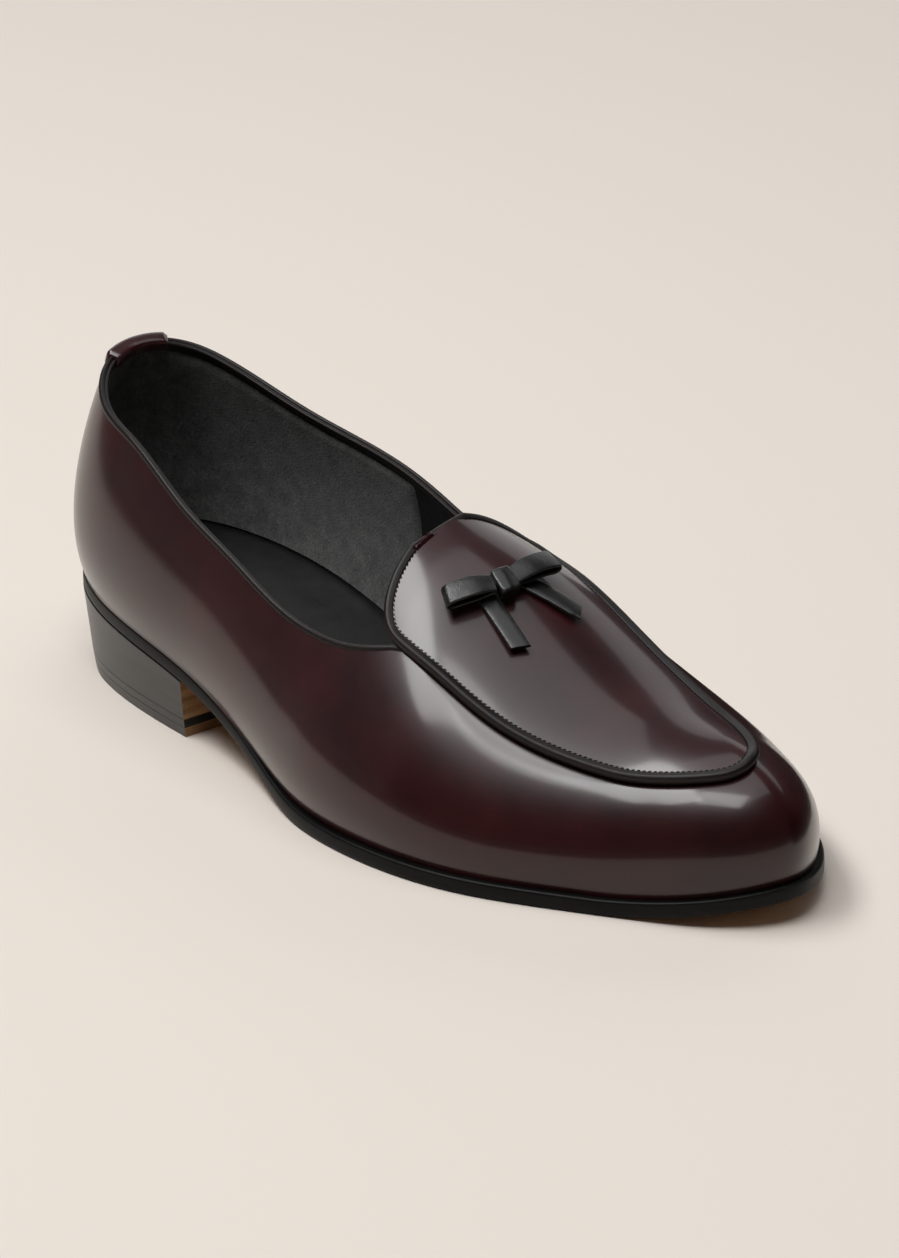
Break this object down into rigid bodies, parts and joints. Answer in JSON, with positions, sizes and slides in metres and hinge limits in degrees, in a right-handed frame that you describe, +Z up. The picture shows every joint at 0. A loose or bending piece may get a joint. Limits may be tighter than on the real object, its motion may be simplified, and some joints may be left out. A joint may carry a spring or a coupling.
{
  "type": "belgian loafer",
  "caption": "Low slip-on leather shoe with a bound collar and apron, a strip-leather bow, a thin leather sole and a low stacked heel.",
  "frame": {"origin": "middle of the whole shoe's box, on the floor", "axes": "+X from heel to toe, +Y towards the medial side (the wearer's left of this right shoe), +Z up; the heel and the forepart rest on z = 0"},
  "size_m": [0.2922, 0.1132, 0.0964],
  "materials": {
    "burgundy_leather": "high polish",
    "black_leather": "satin",
    "black_sole_leather": "inked and waxed",
    "stacked_heel_leather": "inked and waxed",
    "natural_sole_leather": "waxed edge",
    "black_lining_leather": "matt"
  },
  "bodies": {
    "root": {"upper": "burgundy_leather", "outsole": "black_sole_leather", "heel_stack": "stacked_heel_leather", "heel_black_lift": "black_sole_leather", "heel_top_piece": "natural_sole_leather", "insole": "black_lining_leather", "topline_binding": "black_leather", "apron_binding": "black_leather", "heel_tab": "burgundy_leather", "bow_knot": "black_leather", "bow_loop_lateral": "black_leather", "bow_loop_medial": "black_leather", "bow_tail_lateral": "black_leather", "bow_tail_medial": "black_leather"}
  },
  "joints": []
}
